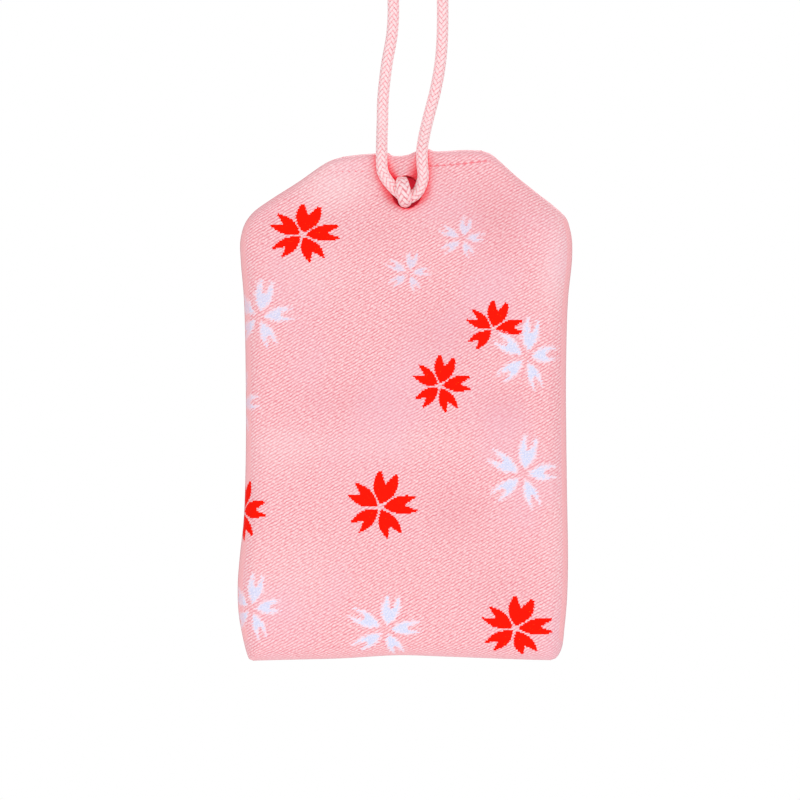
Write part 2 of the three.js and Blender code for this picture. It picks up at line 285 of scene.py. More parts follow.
def braidMaterial():
    material, tree, shader = newMaterial("silkyBraid", Roughness=0.6, Specular_IOR_Level=0.25)
    place = addAttribute(tree, "yarnPlace")
    filaments = addNoise(addVector("MULTIPLY", place, braid["filament"]), 1.0)
    # each yarn's painted light and painted shade: palest on its crown, darker where it dips under
    crown = addAttribute(tree, "yarnPaintedShading", "Fac")
    lit = calc("ADD", crown, addCentred(filaments, braid["filamentShade"]))
    shade = addTint(braid["deep"], lit, *braid["light"])
    # painted shade in creases and where the cord touches other pieces
    shade = addTint(shade, addPaintedShadeMask(tree, braid["shadeReach"]), *braid["hollowShade"])
    plug(shader.inputs["Base Color"], shade)
    plug(shader.inputs["Normal"], addBump(filaments, *braid["bump"]))
    return material


def yarnTube(centre, radial, halfWidth, halfDepth, sides):
    tangent = unit(np.gradient(centre, axis=0))
    wide = unit(np.cross(tangent, radial))
    thin = np.cross(wide, tangent)
    angles = 2 * np.pi * np.arange(sides) / sides
    rings = (
        centre[:, None]
        + wide[:, None] * (halfWidth[:, None] * np.cos(angles))[..., None]
        + thin[:, None] * (halfDepth[:, None] * np.sin(angles))[..., None]
    )
    return rings.reshape(-1, 3)


def yarnPlaces(along, sides, number):
    # along the yarn, round it, and the yarn's own number
    around = np.tile(np.arange(sides) / sides, len(along))
    return np.column_stack([np.repeat(along, sides), around, np.full(len(around), number)])


def tubeFaces(rings, sides, first):
    ring, side = np.meshgrid(np.arange(rings - 1), np.arange(sides), indexing="ij")
    after = (side + 1) % sides
    low = first + ring * sides
    quads = np.stack([low + side, low + after, low + sides + after, low + sides + side], -1)
    caps = [list(range(first, first + sides))[::-1]]
    caps.append(list(range(first + (rings - 1) * sides, first + rings * sides)))
    return quads.reshape(-1, 4).tolist() + caps


def pressed(points, line, place, direction, reach, widening):
    # soft cord squeezed by its neighbour: wider one way, thinner the other
    middle = np.repeat(line, len(points) // len(line), axis=0)
    offset = points - middle
    strength = widening * np.exp(-(np.linalg.norm(middle - place, axis=1, keepdims=True) / reach) ** 2)
    wide = (offset @ np.array(direction, float))[:, None] * direction
    return middle + wide * (1 + strength) + (offset - wide) * (1 - braid["thinning"] * strength)


def braidPiece(name, line, side, cross, along, turn, material, press, rounded=False):
    count = len(line)
    size = np.ones(count)
    if rounded:  # sealed tips
        reach = np.minimum(along - along[0], along[-1] - along) / (0.5 * braid["diameter"])
        size = np.sqrt(np.clip(1 - (1 - np.clip(reach, braid["tipLeast"], 1)) ** 2, 0, 1))
    points, faces, places, crowns = [], [], [], []
    made = 0
    carriers = braid["carriers"]
    perWay = carriers // 2
    yarn = (braid["yarnHalfWidth"], braid["yarnHalfDepth"], braid["yarnSides"])

    def addTube(centre, radial, halfWidth, halfDepth, sides, number, over):
        nonlocal made
        tube = yarnTube(centre, radial, halfWidth * size, halfDepth * size, sides)
        points.append(pressed(tube, line, *press))
        faces.extend(tubeFaces(count, sides, made))
        places.append(yarnPlaces(along, sides, number))
        # painted light along the crown and painted shade where the yarn dips under, kept for the shader
        flank, rise = braid["crownPaintedLight"]
        dipped, lift = braid["underPaintedShade"]
        crown = flank + rise * np.maximum(np.sin(2 * np.pi * places[-1][:, 1]), 0)
        crowns.append(crown * np.repeat(dipped + lift * smoothStep(over, *braid["dipRange"]), sides))
        made += count * sides

    addTube(line, side, braid["coreRadius"], braid["coreRadius"], braid["coreSides"], 0.0, -np.ones(count))
    for way in (1, -1):
        for k in range(perWay):
            theta = way * 2 * np.pi * along / turn + k * 2 * np.pi / perWay
            over = way * np.cos(carriers / 4 * (theta - np.pi / carriers))
            radial = side * np.cos(theta)[:, None] + cross * np.sin(theta)[:, None]
            radius = (braid["yarnRing"] + braid["weave"] * over) * size
            centre, number = line + radial * radius[:, None], braid["yarnApart"] * k + way
            addTube(centre, radial, *yarn, number, over)
    stored = dict(yarnPlace=np.vstack(places), yarnPaintedShading=np.concatenate(crowns))
    return makePiece(name, np.vstack(points), faces, material, "braid", **stored)


# hanging cord: one loop of braid whose ends meet under the knot's upright strand
hanging = dict(
    split=-37.5,  # level where the loop's two pieces meet
    twist=(-6.0, -36.0),
    fold=(-50.0, -60.5),
    onCloth=6,  # points at either end of the route that press the cloth
    pressed=((0.1, -2.1, -65.9), (0, 0, 1), 1.5, 0.16),  # place, direction, reach, widening
    route=[
        (0.1, -2.1, -65.95), (0.85, -2.1, -65.92), (1.5, -2.15, -65.45), (1.98, -2.2, -64.6),
        (2.33, -2.25, -63.29), (2.2, -2.2, -61.45), (2.19, -1.75, -59.6), (2.45, -0.85, -57.8),
        (2.95, 0, -55.5), (4.05, 0, -51.2), (4.66, 0, -47.8), (4.95, 0, -44.5), (5.02, 0, -39),
        (4.8, 0, -34), (4.35, 0, -28), (3.9, 0, -22.5), (3.9, 0, -17), (4.3, 0, -11), (4.7, 0, -6),
        (4.2, 0, -2), (2.4, 0, 0.1), (0, 0, 0.825), (-2.4, 0, 0.1), (-4.2, 0, -2), (-4.7, 0, -6),
        (-4.3, 0, -11), (-3.9, 0, -17), (-3.9, 0, -22.5), (-3.2, 0, -28), (-2.3, 0, -34), (-1.75, 0, -39),
        (-1.9, 0, -43.4), (-2.65, 0, -47.8), (-3.15, 0, -52.4), (-3.23, 0, -55.5), (-3.3, -0.85, -57.8),
        (-3.32, -1.75, -59.6), (-3.32, -2.2, -61.3), (-3.17, -2.25, -62.6), (-2.44, -2.2, -63.9),
        (-1.45, -2.15, -65.0), (-0.7, -2.1, -65.6),
    ],
)


def makeHangingCord(material):
    line = smoothLine(hanging["route"], braid["step"], closed=True)
    along = lengthAlong(line)
    side, cross = carryFrames(line, closed=True)
    turn = along[-1] / round(along[-1] / braid["turn"])
    high = np.nonzero(line[:, 2] > hanging["split"])[0]
    first, last = high[0], high[-1]
    upper = np.arange(first, last + 1)
    lower = np.concatenate([np.arange(last, len(line) - 1), np.arange(0, first + 1)])
    made = []
    for name, part, nodes in (
        ("hangingCordUpper", upper, ["hanging_loop"]),
        ("hangingCordLower", lower, ["loop_strand_left", "loop_strand_right", "cord_bight"]),
    ):
        laid = (line[part], side[part], cross[part], along[part], turn)
        piece = braidPiece(name, *laid, material, hanging["pressed"])
        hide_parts(*nodes)
        made.append(piece)
    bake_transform(made[0])
    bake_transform(made[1])
    print("hanging cord:", round(along[-1], 1), "mm")


# knot on the front, points as right, out and up from the middle of the hole
knot = dict(
    middle=(-0.35, 0.0, -65.55),
    pitch=2.15,
    weave=1.1,
    cloth=2.425,  # cord line where it lies on the cloth of the mouth
    tail=4.125,  # cord line where it lies on the full pouch
    lift=2.6,
    reach=1.5,
    bridle=-2.2,
    bridleUp=0.35,
    lean=0.22,
    arch=4.22,
    pressed=((-0.35, -3.6, -65.3), (1, 0, 0), 2.0, 0.24),
    tailReach=15.0,
)


def knotRoute():
    a, lean, arch, bridle = knot["pitch"], knot["lean"], knot["arch"], knot["bridle"]
    up, reach = knot["bridleUp"], knot["reach"]
    high, low = up + reach, up - reach
    cloth, tail, tailReach = knot["cloth"], knot["tail"], knot["tailReach"]
    middle = cloth + knot["lift"]
    over, under = middle + knot["weave"], middle - knot["weave"]
    return [
        # left tail, up to the weave
        (-2.9, tail + 0.1, -tailReach), (-2.6, tail + 0.2, -11.5), (-2.3, tail + 0.8, -7.5),
        (-a, over - 0.3, -4.6), (-a, over, -a - 0.5), (-a, over, 0.5 - a), (-a, under + 0.05, a - 0.5),
        (0.15 - a, under - 0.35, a + 0.3), (-1.5, 2.85, 2.95), (-0.8, 2.05, 2.55),
        # through the hole, over the hanging cord and back
        (-lean, 0.4, high), (-lean, -0.7, high), (-lean, -1.6, high - 0.1),
        (-0.7 * lean, bridle - 0.6 * reach, up + 0.55 * reach),
        (0, bridle - reach, up - 0.1),
        (0.7 * lean, bridle - 0.7 * reach, up - 0.75 * reach), (lean, bridle, low),
        (lean, -1.2, low), (lean, 0.4, low), (0.8, 2.05, -2.55), (1.5, 2.85, -2.95),
        (a - 0.15, under - 0.35, -a - 0.3), (a, under + 0.05, 0.5 - a), (a, over, a - 0.5),
        # over the top to the left
        (a, over, a + 0.6), (1.7, over - 0.3, arch - 0.4), (0.3, middle + 0.2, arch),
        (-1.8, middle + 0.2, arch + 0.05), (-3.8, middle + 0.4, arch - 0.1), (-4.9, over - 0.4, 3.4),
        (-4.6, over - 0.1, 2.6), (-3.6, over, a + 0.05), (0.5 - a, over, a), (a - 0.5, under, a),
        (a + 0.6, under - 0.1, a + 0.1),
        # right ear
        (4.6, cloth + 0.75, 2.7), (7.0, cloth + 0.55, 3.1), (9.2, cloth + 0.55, 2.8),
        (10.8, cloth + 0.6, 1.7), (11.2, cloth + 0.6, 0.3), (10.4, cloth + 0.6, -1.0),
        (8.6, cloth + 0.5, -1.6), (6.0, cloth + 0.3, -1.1), (3.6, cloth + 0.05, -0.3),
        (a - 0.4, cloth, 0), (0.4 - a, cloth, 0),
        # left ear
        (-3.6, cloth + 0.05, 0.3), (-6.0, cloth + 0.3, 1.1), (-8.6, cloth + 0.5, 1.6),
        (-10.4, cloth + 0.6, 1.0), (-11.2, cloth + 0.6, -0.3), (-10.8, cloth + 0.7, -1.7),
        (-9.2, cloth + 0.85, -2.8), (-7.0, cloth + 0.95, -3.1), (-4.6, cloth + 0.95, -2.7),
        (-a - 0.6, under - 0.1, -a - 0.1), (0.5 - a, under, -a), (a - 0.5, over, -a),
        (a + 0.5, over, -a - 0.1),
        # right tail
        (3.9, over - 0.4, -3.4), (4.1, tail + 1.0, -5.6), (3.4, tail + 0.35, -9),
        (2.8, tail + 0.1, 1 - tailReach),
    ]


def makeKnot(material):
    line = smoothLine(knotRoute(), braid["step"]) + np.array(knot["middle"])
    along = lengthAlong(line)
    laid = (line, *carryFrames(line), along, braid["turn"])
    piece = braidPiece("frontKnot", *laid, material, knot["pressed"], rounded=True)
    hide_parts("front_knot")
    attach(piece, "pouch")
    print("front knot:", round(along[-1], 1), "mm of braid")


silkyBraid = braidMaterial()
makeHangingCord(silkyBraid)
makeKnot(silkyBraid)

# pouch: two leaves of brocade sewn together along their edge
pouch = dict(
    mouthZ=-60.0,
    height=69.0,
    # how far in a layer of cloth lies, how far short of the seam it ends, and its size laid flat
    brocade=dict(inside=0.0, thickness=0.45, trim=-1.0, cut=(48.8, 71.0), area=3270.0),
    lining=dict(inside=0.75, thickness=0.2, trim=1.0, cut=(45.0, 67.0), area=2660.0),
    depth=(1.25, 3.0),  # half the thickness, at the mouth and of the body
    edgeRound=(1.2, 3.2),  # there too
    roundGrows=(1.0, 10.0),
    swell={-1: (2.4, 13.0), 1: (7.5, 16.5)},  # drops between which the back, -1, and the front, 1, fill out
    valley=(1.5, 1.3),  # reach of the cord's valley, and the depth left in it
    seamDip=0.3,  # how far the cloth falls away beside the sewn edge, and over what depth
    seamWidth=0.7,
    leftEdge=[  # drop below the mouth, place
        (0, -8.6), (0.4, -10.1), (1.0, -11.2), (3.7, -14.8), (6.3, -18.7), (7.95, -20.9),
        (9.5, -22.05), (11.8, -22.7), (14.5, -22.65), (20, -22.2), (33.7, -21.93), (43, -21.98),
        (50.2, -22.25), (55.4, -22.8), (58.8, -23.05), (62.6, -22.95), (66.0, -22.35), (68.2, -21.75),
        (68.8, -21.45), (69, -20.9),
    ],
    rightEdge=[
        (0, 10.3), (0.35, 11.5), (1.0, 12.5), (3.2, 15.1), (5.6, 18.2), (7.2, 20.3),
        (8.8, 21.95), (10.4, 22.5), (11.8, 22.75), (14.5, 22.75), (20, 22.2), (30, 21.93),
        (37, 21.95), (46, 22.06), (56, 22.2), (61, 22.06), (64.9, 21.7), (67.2, 21.4),
        (68.2, 20.97), (68.75, 20.5), (69, 19.8),
    ],
    topEdge=[  # place, drop of the mouth's edge
        (-13, 0.5), (-9.3, 0.42), (-6.5, 0.1), (-4.6, -0.05), (-3.3, -0.15), (-2.5, -0.2), (-1.9, 0.2),
        (-0.8, 0.26), (0.4, 0.06), (1.2, -0.3), (2.2, -0.65), (3.1, -0.7), (3.8, -0.42), (8, -0.55),
        (10.2, -0.5), (13, -0.4),
    ],
    bottomEdge=[
        (-24, 0.5), (-16, 0.3), (-9, 0.12), (-1, -0.32), (5, -0.15), (12, 0.12), (18, 0.32), (24, 0.4),
    ],
    dents=[  # right, drop, reach across, reach down, height
        (-6, 36.7, 17, 4.5, -0.5), (-17, 9, 8, 6, -0.5), (15, 33, 6, 7, 0.35), (8, 50, 9, 6, -0.35),
        (-10, 58, 10, 7, 0.3), (6, 23, 10, 7, 0.3),
    ],
    wave=(0.16, 0.085, 0.07, 4.0),  # height, closeness across and down, seed
    ripple=(0.05, 0.32, 0.3, 9.0),
    pucker=(0.11, 0.25, 0.6, 17.0),
    puckerLine=(2.4, 2.2),  # how far in from the edge the puckers lie, and their reach
    calm=((0.3, 2.5), (3.0, 9.0)),  # no creases right at the edge and the mouth
    sideBand=((7.0, 9.5), (66.0, 68.5), 3.0),  # drops where the plain side bands start and end
    holeDepth={-1: 1.15, 1: 0.62},
    pinchReach=0.5,
    lipReach=2.0,
    lipBulge=0.3,
    web=(-0.45, 3.2, 1.3, 1.0, 1.25),  # bulge above the hole, as a dent
    hole={
        -1: dict(x=0.1, drop=5.3, halfWidth=2.05, halfHeight=2.25),
        1: dict(x=-0.35, drop=5.4, halfWidth=0.7, halfHeight=2.5),
    },
)

# spacing of the leaves' mesh: it closes up near the edges and round the hole
spacing = dict(
    rim=(3.2, 2.7, 2.2, 1.75, 1.35, 1.0, 0.7, 0.45, 0.25, 0.1, 0.02, 0),  # in from an edge
    mouth=(0, 0.02, 0.08, 0.18, 0.32, 0.5, 0.7),
    halfWidth=22.5,
    fineHalf=6.0,
    fineStep=0.3,
    fineDrop=(0.95, 10.5, 0.25),  # from, to, step
    rimStart=3.9,
    columns=18,
    rows=74,
    mouthReach=12.0,  # how far the waves of the mouth and of the bottom reach into the leaf
    bottomReach=14.0,
)


def alongEdge(name, value):
    line = smoothLine([(a, b, 0) for a, b in pouch[name]], step=0.1)
    return np.interp(value, line[:, 0], line[:, 1])


def flatGrid():
    rim, rimStart = np.array(spacing["rim"]), spacing["rimStart"]
    reach, fineHalf, height = spacing["halfWidth"], spacing["fineHalf"], pouch["height"]
    fine = np.arange(0, fineHalf, spacing["fineStep"])
    coarse = np.linspace(fineHalf, reach - rimStart, spacing["columns"])
    half = np.concatenate([fine, coarse, reach - rim]) / reach
    columns = np.concatenate([-half[:0:-1], half])
    fineStart, fineEnd, fineStep = spacing["fineDrop"]
    fine = np.arange(fineStart, fineEnd, fineStep)
    coarse = np.linspace(fineEnd + fineStep, height - rimStart, spacing["rows"])
    rows = np.concatenate([spacing["mouth"], fine, coarse, height - rim])
    left = alongEdge("leftEdge", rows)[:, None]
    right = alongEdge("rightEdge", rows)[:, None]
    x = (left + right) / 2 + columns[None] * (right - left) / 2
    bottomReach = spacing["bottomReach"]
    topFade = np.clip(1 - rows / spacing["mouthReach"], 0, 1)[:, None] ** 3
    bottomFade = np.clip((rows - height + bottomReach) / bottomReach, 0, 1)[:, None] ** 2
    drop = rows[:, None] + alongEdge("topEdge", x) * topFade
    drop = drop + alongEdge("bottomEdge", x) * bottomFade
    return x, drop


def holeMeasure(sign, x, drop):
    hole = pouch["hole"][sign]
    return np.hypot((x - hole["x"]) / hole["halfWidth"], (drop - hole["drop"]) / hole["halfHeight"])


def nearestOn(loop, x, drop):
    # distance to a chain of points, and the direction away from its nearest point
    best = np.full(x.shape, 1e9)
    awayX, awayY = np.zeros(x.shape), np.zeros(x.shape)
    for (ax, ay), (bx, by) in zip(loop[:-1], loop[1:]):
        dx, dy = bx - ax, by - ay
        share = np.clip(((x - ax) * dx + (drop - ay) * dy) / max(dx * dx + dy * dy, 1e-12), 0, 1)
        offX, offY = x - ax - share * dx, drop - ay - share * dy
        distance = np.hypot(offX, offY)
        nearer = distance < best
        best = np.where(nearer, distance, best)
        awayX, awayY = np.where(nearer, offX, awayX), np.where(nearer, offY, awayY)
    length = np.maximum(best, 1e-9)
    return best, awayX / length, awayY / length


def gridOutline(x, drop):
    corners = np.stack([x, drop], -1)
    return np.vstack([corners[0], corners[1:, -1], corners[-1, -2::-1], corners[-2::-1, 0]])


def mound(x, drop, right, down, reachX, reachY, height):
    return height * np.exp(-(((x - right) / reachX) ** 2) - ((drop - down) / reachY) ** 2)


def clothDepth(sign, x, drop, edge):
    # half the thickness of the pouch at each point
    full = between(pouch["depth"], smoothStep(drop, *pouch["swell"][sign]))
    if sign < 0:  # the hanging cord presses two valleys into the back
        route, count = hanging["route"], hanging["onCloth"]
        loop = [(p[0], pouch["mouthZ"] - p[2]) for p in route[-count:] + route[:count]]
        reach, left = pouch["valley"]
        press = np.exp(-((nearestOn(loop, x, drop)[0] / reach) ** 2))
        full = full - press * np.maximum(full - left, 0)
    # the knot pulls both leaves together round the hole, the front one most
    pinch = np.exp(-(np.maximum(holeMeasure(-1, x, drop) - 1, 0) / pouch["pinchReach"]) ** 2)
    if sign < 0:  # the lip below the hole stays full
        middle = pouch["hole"][sign]["drop"]
        pinch = pinch * (1 - smoothStep(drop, middle, middle + pouch["lipReach"]))
    full = full - pinch * np.maximum(full - pouch["holeDepth"][sign], 0)
    if sign < 0:
        full = full + mound(x, drop, *pouch["web"])
    bend = between(pouch["edgeRound"], smoothStep(drop, *pouch["roundGrows"]))
    rise = np.clip(edge / bend, 0, 1)
    return full * np.sqrt(np.clip(1 - (1 - rise) ** 2, 0, 1)), bend


def clothNoise(kind, sign, x, drop):
    height, across, down, seed = pouch[kind]
    return height * noise.noise(Vector((x * across, drop * down, seed + sign)))


def creases(sign, x, drop, edge):
    # listed dents, soft waves over the cloth and small puckers along the sewn edges
    inFrom, reach = pouch["puckerLine"]
    found = []
    for px, py, pe in zip(x.ravel(), drop.ravel(), edge.ravel()):
        wave, ripple, pucker = (clothNoise(kind, sign, px, py) for kind in ("wave", "ripple", "pucker"))
        found.append(wave + ripple + pucker * math.exp(-((pe - inFrom) / reach) ** 2))
    waves = np.array(found).reshape(x.shape)
    for dent in pouch["dents"]:
        waves += mound(sign * -x, drop, *dent)
    byEdge, byMouth = pouch["calm"]
    return waves * smoothStep(edge, *byEdge) * smoothStep(drop, *byMouth)


def cornersOf(grid):
    # the four corners of every cell
    return grid[:-1, :-1], grid[1:, :-1], grid[1:, 1:], grid[:-1, 1:]


def leafSkin(sign):
    x, drop = flatGrid()
    outline = gridOutline(x, drop)
    measure = holeMeasure(sign, x, drop)
    inside = measure < 1
    holed = np.logical_and.reduce(cornersOf(inside))
    used = np.zeros(x.shape, bool)
    for corner in cornersOf(used):
        corner |= ~holed
    snap = inside & used  # these points move out onto the hole's rim
    hole, share = pouch["hole"][sign], np.maximum(measure, 0.05)
    x = np.where(snap, hole["x"] + (x - hole["x"]) / share, x)
    drop = np.where(snap, hole["drop"] + (drop - hole["drop"]) / share, drop)
    edge, inX, inY = nearestOn(outline, x, drop)
    depth, bend = clothDepth(sign, x, drop, edge)
    depth = depth + creases(sign, x, drop, edge)
    dip = pouch["seamDip"] * np.clip(1 - depth / pouch["seamWidth"], 0, 1) ** 2
    points = np.stack([x + inX * dip, sign * depth, pouch["mouthZ"] - drop - inY * dip], -1)
    spare = bend * np.arcsin(np.clip(1 - edge / bend, 0, 1)) - np.maximum(bend - edge, 0)
    fromSide = np.minimum(x - alongEdge("leftEdge", drop), alongEdge("rightEdge", drop) - x)
    start, end, shift = pouch["sideBand"]
    fromSide = fromSide + shift * (1 - smoothStep(drop, *start)) + shift * smoothStep(drop, *end)
    place = np.stack([x - inX * spare, pouch["mouthZ"] - drop + inY * spare, fromSide], -1)
    across, down = np.gradient(points, axis=1), np.gradient(points, axis=0)
    normal = unit(np.cross(down, across))
    normal *= np.sign((normal[..., 1] * sign).mean())
    return points, normal, place, edge, ~holed


def leafPiece(name, sign, layer, material):
    points, normal, place, edge, kept = leafSkin(sign)
    cloth = pouch[layer]
    outer, thickness = cloth["inside"], cloth["thickness"]
    kept = kept & np.logical_and.reduce(cornersOf(edge > cloth["trim"]))
    rows, columns = points.shape[:2]
    size = rows * columns
    number = np.arange(size).reshape(rows, columns)
    quads = np.stack([corner[kept] for corner in cornersOf(number)], -1)
    if sign > 0:
        quads = quads[:, ::-1]
    faces = quads.tolist() + (quads[:, ::-1] + size).tolist()
    pairs = {}
    for a, b, c, d in quads.tolist():
        pairs.update(dict.fromkeys(((a, b), (b, c), (c, d), (d, a))))
    border = [pair for pair in pairs if pair[::-1] not in pairs]
    depths = (outer, outer + thickness)
    spots = np.vstack([(points - normal * depth).reshape(-1, 3) for depth in depths])
    places = np.vstack([place.reshape(-1, 3)] * 2)
    edges = np.tile(edge.ravel(), 2)
    hole = pouch["hole"][sign]
    middle = np.array([hole["x"], 0, pouch["mouthZ"] - hole["drop"]])
    lips, extra = {}, []
    for a, b in border:
        onRim = 0 < a // columns < rows - 1 and 0 < a % columns < columns - 1
        if not onRim:
            faces.append([b, a, a + size, b + size])
            continue
        for v in (a, b):
            if v not in lips:
                halfway = (spots[v] + spots[v + size]) / 2
                lips[v] = 2 * size + len(extra)
                inward = unit((middle - halfway) * (1, 0, 1))
                extra.append(halfway + inward * thickness * pouch["lipBulge"])
        faces.append([b, a, lips[a], lips[b]])
        faces.append([lips[b], lips[a], a + size, b + size])
    onLips = list(lips)
    spots, places = np.vstack([spots, extra]), np.vstack([places, places[onLips]])
    edges = np.concatenate([edges, edges[onLips]])
    needed = np.unique(np.concatenate([np.asarray(f) for f in faces]))
    renumber = np.full(len(spots), -1)
    renumber[needed] = np.arange(len(needed))
    faces = [renumber[f].tolist() for f in faces]
    stored = dict(clothPlace=places[needed], clothEdge=edges[needed])
    piece = makePiece(name, spots[needed], faces, material, layer, **stored)
    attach(piece, "pouch")
    return piece


# brocade: twill with woven blossoms
brocade = dict(
    light=colour(255, 216, 220),
    deep=colour(232, 129, 142),
    band=(colour(248, 166, 173), colour(255, 198, 202)),
    red=colour(254, 20, 0),
    white=colour(208, 220, 250),
    fringe=colour(250, 229, 242),
    # tints, as for the braid
    # the next two tints: painted light and painted shade, laid on in soft patches
    paintedLightPatch=((0.5, 1.0, 0.0, 0.6), colour(255, 240, 241)),
    paintedShadePatch=((0.0, 0.5, 0.5, 0.0), colour(222, 128, 142)),
    shimmer=((0.45, 0.75, 0.0, 0.3), colour(240, 190, 208)),
    # painted glints on the red blossoms
    paintedGlint=((0.7, 0.78), colour(255, 120, 0)),
    streak=((0.45, 0.65), colour(238, 238, 254)),
    # painted shade along the edges, where the cloth turns away
    rim=((0.0, 0.07, 0.6, 0.0), colour(226, 118, 132)),
    # painted shade in creases and where the cords touch the cloth
    hollowShade=((0.14, 0.66, 0.0, 0.95), colour(255, 36, 58)),
    shadeReach=2.2,
    shimmerScale=0.07,
    fieldStart=(0.7, 0.9),  # in from the sides, where the plain band ends
    weaveEdge=(0.2, 1.2),  # in from the edge, where the weave fades in
    flatWeave=(0.55, 0.55),  # share of the weave left at the edge, and the level of the rest
    speck=(5.0, 0.6),  # closeness, amount
    twillAngle=29.5,
    twillPitch=0.384,
    wander=(0.9, 0.8),  # of the lines: closeness, amount
    floatLength=0.62,
    floatShift=0.382,  # from line to line
    valleyPower=3.0,
    woven=(0.6, 0.3, -0.55),  # level of the floats, rise of their crowns, fall of the valleys
    streaks=(1.1, 2.2),  # closeness of the grain along and across the lines
    grain=1.5,
    thread=(0.1, 0.2, 1.0),  # width and height of a woven step
    threadShift=0.09,
    fray=0.28,
    whiteEdge=(-0.035, 0.035),
    fringeWidth=(0.02, 0.09),
    bandWhite=0.65,  # share of a white blossom that shows on the band
    whiteCovers=0.3,  # whites stronger than this hide red
    specular=(0.3, -0.25),  # of the cloth, and its change on red
    raised=0.6,
    bump=(0.05, 0.45),
    lightAndShadeReach=1.5,
    petalTurn=77.0,
    # meet: where the petals meet, right and up; lean: how much longer the right and upper ones are
    redPetal=dict(
        meet=(-0.06, -0.02), lean=(0.05, 0.06, 0), halfWidth=0.268, upright=0.25, widest=0.62, taper=0.54,
        tipTaper=0.82, fork=0.66, forkWidth=0.5, forkPower=0.9,
    ),
    whitePetal=dict(
        meet=(0.08, -0.12), lean=(-0.08, 0.07, 0), halfWidth=0.212, upright=0.25, widest=0.62, taper=0.48,
        tipTaper=0.72, fork=0.62, forkWidth=0.2, forkPower=0.55,
    ),
    # patches of painted light and painted shade: right, up, reach across, reach up, lighter or darker
    paintedLightAndShade=[
        (-9.5, -64.9, 6.9, 5.8, 0.49), (-12.5, -76.0, 6.9, 5.8, 0.26), (20.5, -74.5, 4.1, 10.3, 0.45),
        (-1.0, -99.4, 17.2, 3.4, 0.26), (-17.5, -100.5, 5.8, 5.8, 0.26), (-15.5, -117.5, 9.2, 7.5, 0.26),
        (21.0, -113.0, 3.4, 17.2, 0.26), (12.5, -69.0, 8.0, 8.6, -0.42), (5.0, -84.5, 8.0, 5.8, -0.39),
        (-8.0, -94.0, 12.6, 3.9, -0.33), (13.0, -95.0, 4.6, 4.6, -0.45), (6.8, -108.8, 5.8, 5.8, -0.39),
        (-5.0, -70.2, 6.9, 4.6, -0.29), (12.5, -119.5, 6.9, 4.6, -0.29),
    ],
    # right, up, half width, half height, petal left out (9 for none)
    backRed=[
        (-13.8, -71.25, 4.95, 4.05, 9), (12.06, -84.1, 4.05, 3.7, -2), (4.85, -91.8, 4.05, 3.95, 9),
        (-3.25, -108.3, 4.85, 4.6, 9), (-23.3, -108.93, 4.35, 4.3, 9), (15.15, -124.85, 5.0, 4.15, 9),
    ],
    # right, up, half width, half height, strength
    backWhite=[
        (7.4, -71.55, 3.35, 2.85, 0.65), (0.14, -76.2, 3.2, 2.8, 0.6), (-20.4, -81.9, 5.1, 4.8, 0.8),
        (16.03, -87.35, 4.5, 5.0, 0.88), (-24.6, -93.9, 4.6, 4.6, 0.7), (15.56, -103.4, 4.9, 5.07, 0.88),
        (-21.4, -121.7, 4.4, 4.6, 0.85), (-3.15, -124.55, 5.14, 4.4, 0.9),
    ],
    frontRed=[
        (14.2, -74.0, 4.6, 4.1, 9), (-14.6, -83.6, 4.9, 4.4, 9), (16.9, -97.2, 4.2, 4.0, 9),
        (-16.2, -111.9, 4.0, 3.8, 9), (9.6, -121.3, 4.9, 4.3, 9),
    ],
    frontWhite=[
        (-13.0, -72.6, 3.2, 2.9, 0.6), (13.4, -85.4, 4.5, 4.6, 0.95), (-18.2, -97.6, 4.7, 4.9, 0.95),
        (18.6, -110.2, 4.6, 4.7, 0.9), (-6.4, -122.4, 5.0, 4.5, 0.95),
    ],
)


def nearestBlossom(place, blossoms, shape):
    # place measured in petals of the nearest blossom; the last number is the blossom's own
    best, found = None, None
    meetX, meetY = shape["meet"]
    for right, up, halfWidth, halfHeight, number in blossoms:
        scale = (1 / halfWidth, 1 / halfHeight, 0)
        shift = (-meetX - right / halfWidth, -meetY - up / halfHeight, number)
        here = addVector("MULTIPLY_ADD", place, scale, shift)
        away = addVector("DISTANCE", here, (0, 0, number))
        if best is None:
            best, found = away, here
            continue
        nearer = calc("LESS_THAN", away, best)
        found = addMix(nearer, found, here, "VECTOR")
        best = calc("MINIMUM", best, away)
    lean = addVector("MULTIPLY", addVector("ABSOLUTE", found), shape["lean"])
    return addVector("SUBTRACT", found, lean)


